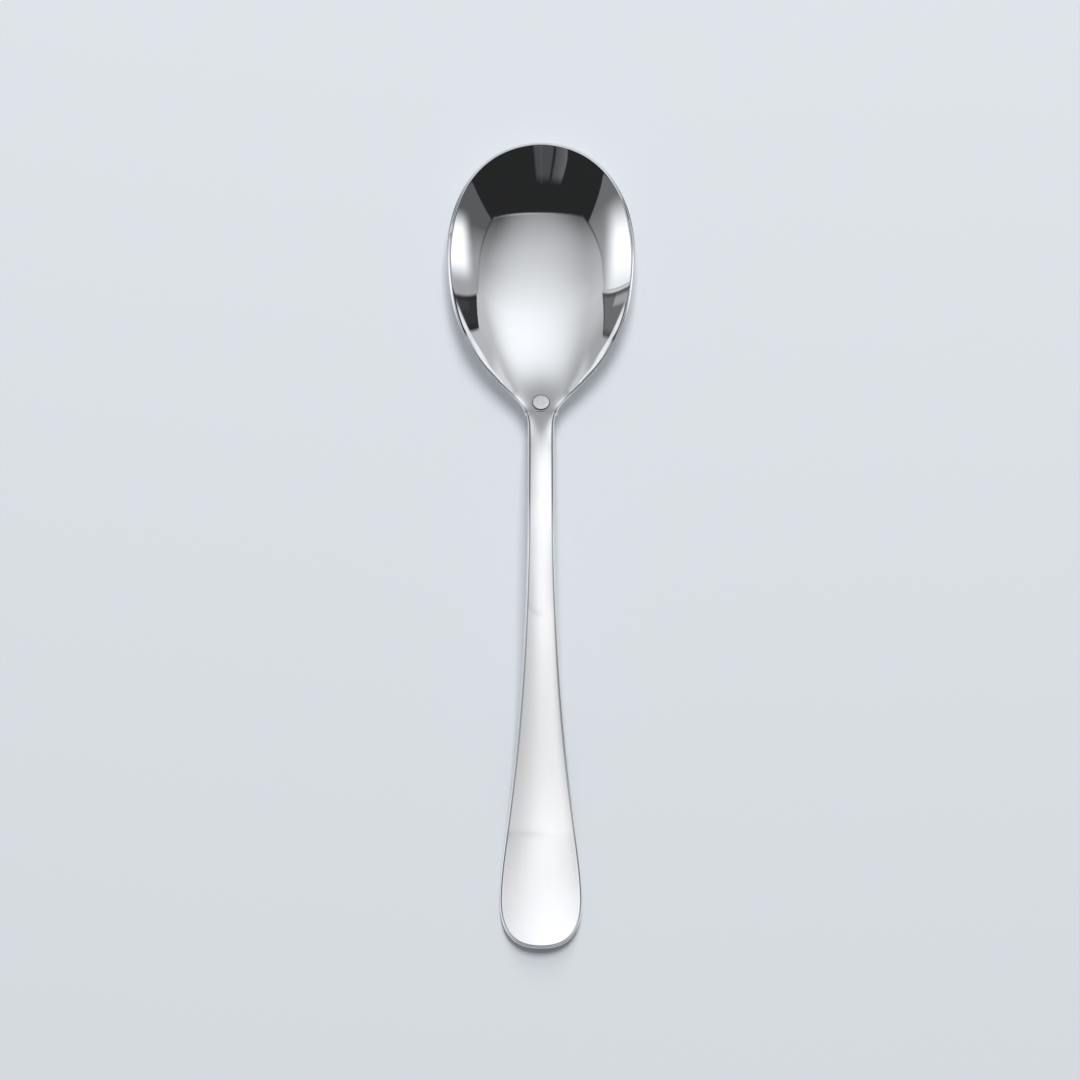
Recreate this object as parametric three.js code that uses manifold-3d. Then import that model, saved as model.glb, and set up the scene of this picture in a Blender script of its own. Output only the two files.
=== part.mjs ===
// Dessert spoon in polished steel: a pressed bowl whose tang lies in a seat cut in the handle,
// with the handle's nose running on under the bowl's neck and one rivet through both.
// Millimetres. +Z is up, +Y runs from the handle's end to the bowl's tip, and the origin is on the
// table under the middle of the spoon. Places along the spoon are distances s from the bowl's tip.
import * as THREE from "three";
import { mergeVertices } from "three/addons/utils/BufferGeometryUtils.js";
import Module from "manifold-3d";

const wasm = await Module();
wasm.setup();

// Lengths along the spoon, one after the other from the tip
const tipToWidest = 25.5;
const widestToShoulder = 30.6;
const shoulderToStem = 8.1;
const straightStem = 11.8;
const flareLength = 95.4;
const endLength = 10.6;

// Full widths of the outline
const bowlWidth = 42.5;
const shoulderWidth = 14.9;
const stemWidth = 6;
const endWidth = 18.6;

// Shape of the outline: the slant where the bowl runs into the neck, and how full each curve is
const shoulderSlant = THREE.MathUtils.degToRad(46);
const tipFullness = 0.59;
const sideFullness = 0.44;
const shoulderFullness = 0.29;
const neckFullness = 0.4;
const flareStart = 0.64;
const flareStop = 0.16;
const endFullness = 0.68;

// Heights of the top surface over the table, along the middle and along the rim
const tipHeight = 8.6;
const tipWallSlope = -0.72;
const rimSideHeight = 8.8;
const rimBackHeight = 8.5;
const rimShoulderHeight = 7.2;
const bowlBackHeight = 2.9;
const shoulderHeight = 6;
const stemHeight = 8.95;
const riseHeight = 11.6;
const crestHeight = 13.9;
const endHeight = 3.4;
const endSlope = 0.2;

// Where those heights lie, from the feature named
const rimBackBeforeShoulder = 8;
const bowlBackBeforeShoulder = 11.1;
const riseAfterStem = 8.8;
const crestAfterStem = 30.8;
const restBeforeEnd = 16;

// Cross section: how flat the floor is before the wall rises, in the bowl and in the neck under the rivet,
// and the rounding of the handle, which is full just behind the neck and flattens as the handle widens
const bowlFlatness = 0.35;
const neckFlatness = 0.6;
const stemCrownRadius = 9;
const endCrownRadius = 36;
const crownFullAfterStem = 4;
const crownFlattening = 2.6;
const backCrownRadius = 150;

// Metal: the bowl's sheet, the handle's thickness, the nose under the neck, and rounded edges
const bowlSheet = 1.2;
const stemThickness = 3;
const endThickness = 2;
const noseTipThickness = 0.8;
const bowlEdgeRound = 0.25;
const handleEdgeRound = 0.5;

// Flat ground off the lowest places, where the spoon rests on the table
const footFlat = 0.06;

// Rivet, the tang's end just behind it, and the play between the three pieces
const rivetBeforeStem = 5.7;
const tangBeforeStem = 3.6;
const noseBeyondRivet = 7.5;
const rivetShankDiameter = 2.5;
const rivetHeadDiameter = 4.1;
const rivetHeadHeight = 0.3;
const rivetTailDiameter = 3.9;
const rivetTailHeight = 0.5;
const rivetPlay = 0.06;
const seatGap = 0.1;

// Mesh fineness: rings along each curve of the outline, columns across, and steps round edges and rivet
const tipRings = 12;
const sideRings = 13;
const neckRings = 6;
const neckBackRings = 3;
const noseTipRings = 5;
const noseRings = 6;
const stemRings = 4;
const flareRings = 22;
const endRings = 9;
const bowlColumns = 24;
const handleColumns = 10;
const edgeSteps = 6;
const roundSides = 28;
const headSteps = 5;

// Stations along the spoon
const widestAt = tipToWidest;
const shoulderAt = widestAt + widestToShoulder;
const stemAt = shoulderAt + shoulderToStem;
const flareAt = stemAt + straightStem;
const endWidestAt = flareAt + flareLength;
const spoonLength = endWidestAt + endLength;
const restAt = spoonLength - restBeforeEnd;
const rivetAt = stemAt - rivetBeforeStem;
const noseTipAt = rivetAt - noseBeyondRivet;
const tangAt = stemAt - tangBeforeStem;
const bodyAt = tangAt + seatGap;
const crownFullAt = stemAt + crownFullAfterStem;

// A smooth curve through stations [s, height], with a given slope at each end: it has no jump in
// slope or curvature, so reflections run over it without a kink.
function splineThrough(stations, startSlope, stopSlope) {
  const count = stations.length;
  const gap = (i) => stations[i + 1][0] - stations[i][0];
  const rise = (i) => (stations[i + 1][1] - stations[i][1]) / gap(i);
  // Each station's bend depends on its neighbours': one forward sweep, then one backward sweep.
  const share = [0.5];
  const bend = [(3 * (rise(0) - startSlope)) / gap(0)];
  for (let i = 1; i < count; i++) {
    const last = i === count - 1;
    const ahead = last ? 0 : gap(i);
    const slopeAhead = last ? stopSlope : rise(i);
    const pivot = 2 * (gap(i - 1) + ahead) - gap(i - 1) * share[i - 1];
    share[i] = ahead / pivot;
    bend[i] = (6 * (slopeAhead - rise(i - 1)) - gap(i - 1) * bend[i - 1]) / pivot;
  }
  for (let i = count - 2; i >= 0; i--) bend[i] -= share[i] * bend[i + 1];
  return (s) => {
    let i = 0;
    while (i < count - 2 && s > stations[i + 1][0]) i++;
    const t = s - stations[i][0];
    const slope = rise(i) - (gap(i) * (2 * bend[i] + bend[i + 1])) / 6;
    const twist = (bend[i + 1] - bend[i]) / (6 * gap(i));
    return stations[i][1] + slope * t + (bend[i] / 2) * t * t + twist * t ** 3;
  };
}

// Slope of a height curve at s
const slopeStep = 0.01;
const slopeOf = (curve, s) => (curve(s + slopeStep) - curve(s - slopeStep)) / (2 * slopeStep);

// 0 before start, 1 after stop, and an even S between them
const easeBetween = (s, start, stop) => THREE.MathUtils.smoothstep(s, start, stop);

// Plan outline: half widths over s, as curves that meet end to end
const at = (s, halfWidth) => new THREE.Vector2(s, halfWidth);
const bezier = (...points) => new THREE.CubicBezierCurve(...points);
const bowlHalf = bowlWidth / 2;
const shoulderHalf = shoulderWidth / 2;
const stemHalf = stemWidth / 2;
const endHalf = endWidth / 2;
const shoulderReach = shoulderFullness * widestToShoulder;
const neckReach = neckFullness * shoulderToStem;

const tipCurve = bezier(
  at(0, 0),
  at(0, tipFullness * bowlHalf),
  at(widestAt - tipFullness * tipToWidest, bowlHalf),
  at(widestAt, bowlHalf),
);
const sideCurve = bezier(
  at(widestAt, bowlHalf),
  at(widestAt + sideFullness * widestToShoulder, bowlHalf),
  at(shoulderAt - shoulderReach, shoulderHalf + shoulderReach * Math.tan(shoulderSlant)),
  at(shoulderAt, shoulderHalf),
);
const neckCurve = bezier(
  at(shoulderAt, shoulderHalf),
  at(shoulderAt + neckReach, shoulderHalf - neckReach * Math.tan(shoulderSlant)),
  at(stemAt - neckReach, stemHalf),
  at(stemAt, stemHalf),
);
const stemCurve = new THREE.LineCurve(at(stemAt, stemHalf), at(flareAt, stemHalf));
const flareCurve = bezier(
  at(flareAt, stemHalf),
  at(flareAt + flareStart * flareLength, stemHalf),
  at(endWidestAt - flareStop * flareLength, endHalf),
  at(endWidestAt, endHalf),
);
const endCurve = bezier(
  at(endWidestAt, endHalf),
  at(endWidestAt + endFullness * endLength, endHalf),
  at(spoonLength, endFullness * endHalf),
  at(spoonLength, 0),
);

// The nose is as wide as the stem, with a round tip.
const noseRoundAt = noseTipAt + stemHalf;
const quarter = Math.PI / 2;
const noseRoundCurve = new THREE.EllipseCurve(noseRoundAt, 0, stemHalf, stemHalf, 2 * quarter, quarter, true);
const noseSideCurve = new THREE.LineCurve(at(noseRoundAt, stemHalf), at(bodyAt, stemHalf));

// How far along a curve of the outline it reaches s, as a share of the curve, found by halving
const halvings = 40;
function shareAt(curve, s) {
  let low = 0;
  let high = 1;
  for (let i = 0; i < halvings; i++) {
    const middle = (low + high) / 2;
    if (curve.getPoint(middle).x < s) low = middle;
    else high = middle;
  }
  return low;
}

// Half width of the bowl's outline at s
function bowlHalfWidth(s) {
  const curve = [tipCurve, sideCurve, neckCurve].find((c) => s <= c.v3.x) ?? neckCurve;
  return curve.getPoint(shareAt(curve, s)).y;
}

// The neck's curve belongs to the bowl up to the tang's end, and to the handle from there on.
function stretchOf(curve, start, stop) {
  const share = (t) => THREE.MathUtils.lerp(start, stop, t);
  return { getPoint: (t) => curve.getPoint(share(t)), getTangent: (t) => curve.getTangent(share(t)) };
}
const tangCurve = stretchOf(neckCurve, 0, shareAt(neckCurve, tangAt));
const neckBackCurve = stretchOf(neckCurve, shareAt(neckCurve, bodyAt), 1);

// Thickness from the top surface to the handle's back: in the nose that includes the tang lying on it
function handleThickness(s) {
  const tipThickness = bowlSheet + seatGap + noseTipThickness;
  const fullAt = rivetAt - rivetTailDiameter / 2;
  if (s < bodyAt) return THREE.MathUtils.lerp(tipThickness, stemThickness, easeBetween(s, noseTipAt, fullAt));
  return THREE.MathUtils.lerp(stemThickness, endThickness, easeBetween(s, flareAt, endWidestAt));
}

// Height of the top surface along the middle, and along the rim until it runs out at the tang's end
const keel = splineThrough(
  [
    [0, tipHeight],
    [widestAt, bowlSheet - footFlat],
    [shoulderAt - bowlBackBeforeShoulder, bowlBackHeight],
    [shoulderAt, shoulderHeight],
    [stemAt, stemHeight],
    [stemAt + riseAfterStem, riseHeight],
    [stemAt + crestAfterStem, crestHeight],
    [restAt, handleThickness(restAt) - footFlat],
    [spoonLength, endHeight],
  ],
  tipWallSlope,
  endSlope,
);
const rim = splineThrough(
  [
    [0, tipHeight],
    [widestAt, rimSideHeight],
    [shoulderAt - rimBackBeforeShoulder, rimBackHeight],
    [shoulderAt, rimShoulderHeight],
    [tangAt, keel(tangAt)],
  ],
  0,
  slopeOf(keel, tangAt),
);

// Height of the sheet that the bowl is pressed in: a dish in the bowl, level from side to side in the handle
function sheetHeight(x, s) {
  if (s >= tangAt) return keel(s);
  const across = (x / bowlHalfWidth(s)) ** 2;
  const flatness = THREE.MathUtils.lerp(bowlFlatness, neckFlatness, easeBetween(s, widestAt, shoulderAt));
  const wall = across * (1 - flatness + flatness * across);
  return keel(s) + (rim(s) - keel(s)) * wall;
}

// Upward normal of that sheet
function sheetNormal(x, s) {
  const slopeX = slopeOf((v) => sheetHeight(v, s), x);
  const slopeS = slopeOf((v) => sheetHeight(x, v), s);
  return new THREE.Vector3(-slopeX, slopeS, 1).normalize();
}

// The point that lies a given depth under the sheet, square to it
function pointUnder(x, s, depth) {
  const top = new THREE.Vector3(x, spoonLength / 2 - s, sheetHeight(x, s));
  return top.addScaledVector(sheetNormal(x, s), -depth);
}

// How far the top is rounded down at x, from nothing in the bowl to the handle's crown
function crownDrop(x, s) {
  const intoFlare = THREE.MathUtils.clamp((s - flareAt) / flareLength, 0, 1);
  const radius = THREE.MathUtils.lerp(stemCrownRadius, endCrownRadius, Math.pow(intoFlare, crownFlattening));
  return (easeBetween(s, tangAt, crownFullAt) * x * x) / (2 * radius);
}
const backRise = (x) => (x * x) / (2 * backCrownRadius);

// Points nearer than this are one point.
const mergeWithin = 1e-4;

// One closed ring round a piece at a place on its outline: over the top from left to right, round the
// right edge, back along the underside and round the left edge. The rounded edge just reaches the outline.
// Where bowl and handle meet, the ring is square to the spoon.
function ringAt(curve, t, layer) {
  const place = curve.getPoint(t);
  const along = Math.abs(place.x - layer.squareAt) < mergeWithin ? at(1, 0) : curve.getTangent(t);
  const outward = new THREE.Vector3(along.x, along.y, 0);
  const thickness = layer.bottom(0, place.x) - layer.top(0, place.x);
  const inner = (inset) => at(place.x + along.y * inset, Math.max(0, place.y - along.x * inset));

  const probe = inner(layer.edgeRound);
  const normal = sheetNormal(probe.y, probe.x);
  const lean = (Math.max(0, -normal.x * outward.x - normal.y * outward.y) * thickness) / 2;
  const inset = lean + Math.hypot(layer.edgeRound, lean);
  const edge = inner(inset);

  const ring = [];
  const under = (x, s, depth) => ring.push(pointUnder(x, s, depth));
  for (let j = 0; j <= layer.columns; j++) {
    const x = edge.y * ((2 * j) / layer.columns - 1);
    under(x, edge.x, layer.top(x, edge.x));
  }
  const edgePoint = (side, k) => {
    const turn = (Math.PI * k) / edgeSteps;
    const p = inner(inset - layer.edgeRound * Math.sin(turn));
    const share = (1 - Math.cos(turn)) / 2;
    const depth = THREE.MathUtils.lerp(layer.top(edge.y, edge.x), layer.bottom(edge.y, edge.x), share);
    under(side * p.y, p.x, depth);
  };
  for (let k = 1; k < edgeSteps; k++) edgePoint(1, k);
  for (let j = layer.columns; j >= 0; j--) {
    const x = edge.y * ((2 * j) / layer.columns - 1);
    under(x, edge.x, layer.bottom(x, edge.x));
  }
  for (let k = edgeSteps - 1; k > 0; k--) edgePoint(-1, k);
  return ring;
}

// Rings at even steps along a curve of the outline, leaving out its first place if another curve gave it
function ringsAlong(curve, steps, layer, first = 0) {
  const rings = [];
  for (let i = first; i <= steps; i++) rings.push(ringAt(curve, i / steps, layer));
  return rings;
}

// A closed skin over rings, with a fan over the middle of each end
function loft(rings) {
  const count = rings[0].length;
  const points = rings.flat();
  const faces = [];
  for (let i = 0; i + 1 < rings.length; i++) {
    for (let j = 0; j < count; j++) {
      const a = i * count + j;
      const b = i * count + ((j + 1) % count);
      faces.push(a, a + count, b, b, a + count, b + count);
    }
  }
  const fan = (start, order) => {
    const ring = points.slice(start, start + count);
    const middle = ring.reduce((sum, p) => sum.add(p), new THREE.Vector3()).divideScalar(count);
    points.push(middle);
    for (let j = 0; j < count; j++) {
      const pair = [start + j, start + ((j + 1) % count)];
      faces.push(points.length - 1, pair[order], pair[1 - order]);
    }
  };
  fan(0, 0);
  fan(count * (rings.length - 1), 1);
  const skin = new THREE.BufferGeometry().setFromPoints(points);
  skin.setIndex(faces);
  return skin;
}

// Solids for cutting: shared points are merged and faces that have shrunk to a line are left out.
function solidOf(geometry) {
  const bare = geometry.clone();
  bare.deleteAttribute("normal");
  bare.deleteAttribute("uv");
  const merged = mergeVertices(bare, mergeWithin);
  const index = merged.index.array;
  const kept = [];
  for (let i = 0; i < index.length; i += 3) {
    const [a, b, c] = index.slice(i, i + 3);
    if (a !== b && b !== c && c !== a) kept.push(a, b, c);
  }
  const vertProperties = merged.attributes.position.array;
  return new wasm.Manifold(new wasm.Mesh({ numProp: 3, vertProperties, triVerts: new Uint32Array(kept) }));
}

function geometryOf(solid) {
  const made = solid.getMesh();
  const geometry = new THREE.BufferGeometry();
  geometry.setAttribute("position", new THREE.BufferAttribute(made.vertProperties, 3));
  geometry.setIndex(new THREE.BufferAttribute(made.triVerts, 1));
  geometry.computeVertexNormals();
  return geometry;
}

// Where the rivet stands: its axis is square to the neck, and its origin is on the tang's top.
const rivetPlace = new THREE.Object3D();
rivetPlace.position.copy(pointUnder(0, rivetAt, 0));
rivetPlace.quaternion.setFromUnitVectors(new THREE.Vector3(0, 1, 0), sheetNormal(0, rivetAt));
rivetPlace.updateMatrix();

// Material taken away: the rivet's hole, and everything under the table
const cutDepth = 4 * stemThickness;
function rivetHole() {
  const radius = rivetShankDiameter / 2 + rivetPlay;
  const drill = new THREE.CylinderGeometry(radius, radius, cutDepth, roundSides);
  return solidOf(drill.applyMatrix4(rivetPlace.matrix));
}
function underTable() {
  const block = new THREE.BoxGeometry(2 * bowlWidth, 2 * spoonLength, cutDepth);
  return solidOf(block.translate(0, 0, -cutDepth / 2));
}
const finished = (skin) => geometryOf(solidOf(skin).subtract(rivetHole()).subtract(underTable()));

// Bowl: one sheet from the tip to the tang's square end
function bowlGeometry() {
  const layer = {
    top: crownDrop,
    bottom: () => bowlSheet,
    edgeRound: bowlEdgeRound,
    columns: bowlColumns,
    squareAt: tangAt,
  };
  return finished(
    loft([
      ...ringsAlong(tipCurve, tipRings, layer),
      ...ringsAlong(sideCurve, sideRings, layer, 1),
      ...ringsAlong(tangCurve, neckRings, layer, 1),
    ]),
  );
}

// Handle: a nose under the tang, a shoulder that the tang's end meets, the stem, and the flared end
function handleGeometry() {
  const back = (x, s) => handleThickness(s) - backRise(x);
  const common = { bottom: back, edgeRound: handleEdgeRound, columns: handleColumns, squareAt: bodyAt };
  const nose = { ...common, top: () => bowlSheet + seatGap };
  const body = { ...common, top: crownDrop };
  return finished(
    loft([
      ...ringsAlong(noseRoundCurve, noseTipRings, nose),
      ...ringsAlong(noseSideCurve, noseRings, nose, 1),
      ...ringsAlong(neckBackCurve, neckBackRings, body),
      ...ringsAlong(stemCurve, stemRings, body, 1),
      ...ringsAlong(flareCurve, flareRings, body, 1),
      ...ringsAlong(endCurve, endRings, body, 1),
    ]),
  );
}

// Rivet, turned about its own axis: a low domed head in the bowl's neck, a plain shank, and a formed tail
// under the nose
function rivetGeometry() {
  const headSeat = sheetHeight(rivetHeadDiameter / 2, rivetAt) - keel(rivetAt) + seatGap;
  const tailSeat = -handleThickness(rivetAt) - seatGap;
  const dome = (radius, height, steps) =>
    Array.from({ length: steps }, (_, i) => {
      const turn = ((i + 1) / steps) * quarter;
      return [radius * Math.cos(turn), height * Math.sin(turn)];
    });
  const tail = dome(rivetTailDiameter / 2, rivetTailHeight, headSteps).map(([r, h]) => at(r, tailSeat - h));
  const head = dome(rivetHeadDiameter / 2, rivetHeadHeight, headSteps).map(([r, h]) => at(r, headSeat + h));
  const profile = [
    ...tail.reverse(),
    at(rivetTailDiameter / 2, tailSeat),
    at(rivetShankDiameter / 2, tailSeat),
    at(rivetShankDiameter / 2, headSeat),
    at(rivetHeadDiameter / 2, headSeat),
    ...head,
  ];
  return new THREE.LatheGeometry(profile, roundSides);
}

// Finishes
const mirrorSteel = new THREE.MeshStandardMaterial({ color: 0xd9dbdf, metalness: 1, roughness: 0.06 });
const satinSteel = new THREE.MeshStandardMaterial({ color: 0xdcdcde, metalness: 1, roughness: 0.35 });

function addPiece(parent, name, geometry, material) {
  const piece = new THREE.Mesh(geometry, material);
  piece.name = name;
  parent.add(piece);
}

const spoon = new THREE.Group();
addPiece(spoon, "bowl", bowlGeometry(), mirrorSteel);
addPiece(spoon, "handle", handleGeometry(), mirrorSteel);
spoon.add(rivetPlace);
addPiece(rivetPlace, "rivet", rivetGeometry(), satinSteel);

export default spoon;
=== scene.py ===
import math
from functools import partial

import bpy
import numpy as np
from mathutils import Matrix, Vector
from mathutils.kdtree import KDTree


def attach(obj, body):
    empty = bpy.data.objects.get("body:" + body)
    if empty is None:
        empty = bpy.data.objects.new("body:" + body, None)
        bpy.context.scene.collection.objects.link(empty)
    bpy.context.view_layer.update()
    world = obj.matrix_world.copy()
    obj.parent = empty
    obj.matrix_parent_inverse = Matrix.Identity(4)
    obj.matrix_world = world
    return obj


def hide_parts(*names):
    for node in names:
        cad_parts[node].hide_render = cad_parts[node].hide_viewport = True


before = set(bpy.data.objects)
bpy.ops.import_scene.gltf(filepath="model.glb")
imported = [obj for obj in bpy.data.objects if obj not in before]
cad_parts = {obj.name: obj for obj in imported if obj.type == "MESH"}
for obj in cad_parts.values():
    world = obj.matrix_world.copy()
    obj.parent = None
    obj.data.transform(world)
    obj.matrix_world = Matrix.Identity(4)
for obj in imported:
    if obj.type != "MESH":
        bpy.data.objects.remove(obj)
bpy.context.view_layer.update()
print("frame loaded:", ", ".join(sorted(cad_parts)))

mm = 0.001  # sizes below are millimetres, Blender works in metres
slopeStep = 0.01  # for slopes taken from two near heights
mergeWithin = 0.000001  # metres
sharpAngle = math.radians(40)


# Node helpers, for materials, world and geometry trees alike

def plug(tree, socket, value):
    if isinstance(value, bpy.types.NodeSocket):
        tree.links.new(value, socket)
    else:
        socket.default_value = value


def addNode(tree, kind, inputs=None, **settings):
    node = tree.nodes.new(kind)
    for name, value in settings.items():
        setattr(node, name, value)
    for name, value in (inputs or {}).items():
        plug(tree, node.inputs[name], value)
    return node


def calc(tree, operation, *values):
    node = addNode(tree, "ShaderNodeMath", operation=operation)
    for socket, value in zip(node.inputs, values):
        plug(tree, socket, value)
    return node.outputs[0]


def total(tree, first, *others):
    for value in others:
        first = calc(tree, "ADD", first, value)
    return first


def spread(tree, value, fromLow, fromHigh, toLow, toHigh, kind="LINEAR"):
    node = addNode(tree, "ShaderNodeMapRange", interpolation_type=kind, clamp=True)
    for socket, given in zip(node.inputs, (value, fromLow, fromHigh, toLow, toHigh)):
        plug(tree, socket, given)
    return node.outputs["Result"]


def treeSocket(tree, name, way, kind, value=None):
    socket = tree.interface.new_socket(name=name, in_out=way, socket_type=kind)
    if value is not None:
        socket.default_value = value
    return socket


# Object helpers

def addPiece(name, mesh):
    piece = bpy.data.objects.new(name, mesh)
    bpy.context.scene.collection.objects.link(piece)
    return piece


def addTree(piece, tree, values):
    modifier = piece.modifiers.new(tree.name, "NODES")
    modifier.node_group = tree
    for item in tree.interface.items_tree:
        if item.in_out == "INPUT" and item.name in values:
            modifier[item.identifier] = values[item.name]


def settle(piece):  # modifiers become a plain mesh
    graph = bpy.context.evaluated_depsgraph_get()
    made = bpy.data.meshes.new_from_object(piece.evaluated_get(graph), depsgraph=graph)
    piece.modifiers.clear()
    piece.data = made


# Plan and profile that bowl and handle share: stations are millimetres from the bowl's tip

spoonLine = {
    "widestAt": 25.5,
    "shoulderAt": 56.1,
    "tangAt": 60.6,  # where the bowl's tang ends
    "stemAt": 64.2,
    "flareAt": 76.0,
    "endWidestAt": 171.4,
    "length": 182.0,
    "bowlHalf": 21.25,
    "shoulderHalf": 7.45,
    "stemHalf": 3.0,
    "endHalf": 9.3,
    "shoulderSlant": 46.0,  # degrees
    "tipFullness": 0.59,
    "sideFullness": 0.44,
    "shoulderFullness": 0.29,
    "neckFullness": 0.4,
    "flareStart": 0.64,
    "flareStop": 0.16,
    "endFullness": 0.68,
    "keel": (  # station, height of the top along the middle
        (0, 8.6), (25.5, 1.14), (45, 2.9), (56.1, 6), (64.2, 8.95),
        (73, 11.6), (95, 13.9), (166, 1.949), (182, 3.4),
    ),
    "keelSlopes": (-0.72, 0.2),
    "rim": ((0, 8.6), (25.5, 8.8), (48.1, 8.5), (56.1, 7.2)),  # runs out at the tang's end
    "bowlFlatness": 0.35,
    "neckFlatness": 0.6,
    "stemCrownRadius": 9.0,
    "endCrownRadius": 36.0,
    "crownFullAt": 68.2,
    "crownFlattening": 2.6,
    "backCrownRadius": 150.0,
    "rivetAt": 58.5,
    "sheet": 1.2,
    "seatGap": 0.1,
    "joint": 0.02,  # a hairline between tang and handle
}
line = spoonLine
bodyAt = line["tangAt"] + line["joint"]


def ease(value, start, stop):
    t = np.clip((value - start) / (stop - start), 0, 1)
    return t * t * (3 - 2 * t)


def blendOf(first, second, share):
    return first + (second - first) * share


def cubicAlong(points, steps, start=0.0, stop=1.0):  # places and unit tangents, at even steps
    p = np.array(points, float)
    t = np.linspace(start, stop, steps + 1)[:, None]
    u = 1 - t
    place = u ** 3 * p[0] + 3 * u * u * t * p[1] + 3 * u * t * t * p[2] + t ** 3 * p[3]
    along = u * u * (p[1] - p[0]) + 2 * u * t * (p[2] - p[1]) + t * t * (p[3] - p[2])
    return place, along / np.linalg.norm(along, axis=1, keepdims=True)


def lineAlong(first, second, steps):
    place = np.linspace(first, second, steps + 1)
    along = np.array(second, float) - np.array(first, float)
    return place, np.tile(along / np.linalg.norm(along), (steps + 1, 1))


def joinRuns(*runs):  # each run after the first leaves out the place that it shares
    places = [runs[0][0]] + [run[0][1:] for run in runs[1:]]
    tangents = [runs[0][1]] + [run[1][1:] for run in runs[1:]]
    return np.concatenate(places), np.concatenate(tangents)


slantRise = math.tan(math.radians(line["shoulderSlant"]))
shoulderReach = line["shoulderFullness"] * (line["shoulderAt"] - line["widestAt"])
neckReach = line["neckFullness"] * (line["stemAt"] - line["shoulderAt"])
flareRun = line["endWidestAt"] - line["flareAt"]
endRun = line["length"] - line["endWidestAt"]

tipCurve = (
    (0, 0),
    (0, line["tipFullness"] * line["bowlHalf"]),
    ((1 - line["tipFullness"]) * line["widestAt"], line["bowlHalf"]),
    (line["widestAt"], line["bowlHalf"]),
)
sideCurve = (
    (line["widestAt"], line["bowlHalf"]),
    (blendOf(line["widestAt"], line["shoulderAt"], line["sideFullness"]), line["bowlHalf"]),
    (line["shoulderAt"] - shoulderReach, line["shoulderHalf"] + shoulderReach * slantRise),
    (line["shoulderAt"], line["shoulderHalf"]),
)
neckCurve = (
    (line["shoulderAt"], line["shoulderHalf"]),
    (line["shoulderAt"] + neckReach, line["shoulderHalf"] - neckReach * slantRise),
    (line["stemAt"] - neckReach, line["stemHalf"]),
    (line["stemAt"], line["stemHalf"]),
)
flareCurve = (
    (line["flareAt"], line["stemHalf"]),
    (line["flareAt"] + line["flareStart"] * flareRun, line["stemHalf"]),
    (line["endWidestAt"] - line["flareStop"] * flareRun, line["endHalf"]),
    (line["endWidestAt"], line["endHalf"]),
)
endCurve = (
    (line["endWidestAt"], line["endHalf"]),
    (line["endWidestAt"] + line["endFullness"] * endRun, line["endHalf"]),
    (line["length"], line["endFullness"] * line["endHalf"]),
    (line["length"], 0),
)

outlineSteps = 2000
bowlOutline = joinRuns(*(cubicAlong(curve, outlineSteps) for curve in (tipCurve, sideCurve, neckCurve)))[0]


def neckShare(s):  # how far along the neck's curve it reaches s
    place = cubicAlong(neckCurve, outlineSteps)[0]
    return np.interp(s, place[:, 0], np.linspace(0, 1, outlineSteps + 1))


def bowlHalfAt(s):
    return np.interp(s, bowlOutline[:, 0], bowlOutline[:, 1])


def heightCurve(stations, startSlope, stopSlope):  # smooth in height, slope and bend
    s, h = np.array(stations, float).T
    gap = np.diff(s)
    rise = np.diff(h) / gap
    count = len(s)
    weights = np.zeros((count, count))
    weights[0, :2] = 2 * gap[0], gap[0]
    weights[-1, -2:] = gap[-1], 2 * gap[-1]
    for i in range(1, count - 1):
        weights[i, i - 1:i + 2] = gap[i - 1], 2 * (gap[i - 1] + gap[i]), gap[i]
    slopes = np.concatenate(([startSlope], rise, [stopSlope]))
    bend = np.linalg.solve(weights, 6 * np.diff(slopes))

    def heightAt(at):
        i = np.clip(np.searchsorted(s, at, side="right") - 1, 0, count - 2)
        t = at - s[i]
        slope = rise[i] - gap[i] * (2 * bend[i] + bend[i + 1]) / 6
        return h[i] + slope * t + bend[i] / 2 * t ** 2 + (bend[i + 1] - bend[i]) / (6 * gap[i]) * t ** 3

    return heightAt


def slopeAt(curve, s):
    return (curve(s + slopeStep) - curve(s - slopeStep)) / (2 * slopeStep)


keel = heightCurve(line["keel"], *line["keelSlopes"])
rimEnd = (line["tangAt"], float(keel(line["tangAt"])))
rim = heightCurve(line["rim"] + (rimEnd,), 0, slopeAt(keel, line["tangAt"]))


def flatnessAt(s):
    return blendOf(line["bowlFlatness"], line["neckFlatness"], ease(s, line["widestAt"], line["shoulderAt"]))


def sheetHeight(x, s):  # a dish in the bowl, level across in the handle
    across = (x / np.maximum(bowlHalfAt(s), slopeStep)) ** 2
    flatness = flatnessAt(s)
    dish = (rim(s) - keel(s)) * across * (1 - flatness + flatness * across)
    return keel(s) + np.where(s < line["tangAt"], dish, 0)


def sheetNormal(x, s):
    slopeX = slopeAt(lambda v: sheetHeight(v, s), x)
    slopeS = slopeAt(lambda v: sheetHeight(x, v), s)
    normal = np.stack((-slopeX, slopeS, np.ones_like(slopeX)), axis=-1)
    return normal / np.linalg.norm(normal, axis=-1, keepdims=True)


def pointUnder(x, s, depth):
    top = np.stack((x, line["length"] / 2 - s, sheetHeight(x, s)), axis=-1)
    return top - depth[..., None] * sheetNormal(x, s)


def crownRate(s):  # how fast the top falls away from the middle, per square millimetre
    intoFlare = np.clip((s - line["flareAt"]) / flareRun, 0, 1)
    radius = blendOf(line["stemCrownRadius"], line["endCrownRadius"], intoFlare ** line["crownFlattening"])
    return ease(s, line["tangAt"], line["crownFullAt"]) / (2 * radius)


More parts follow.
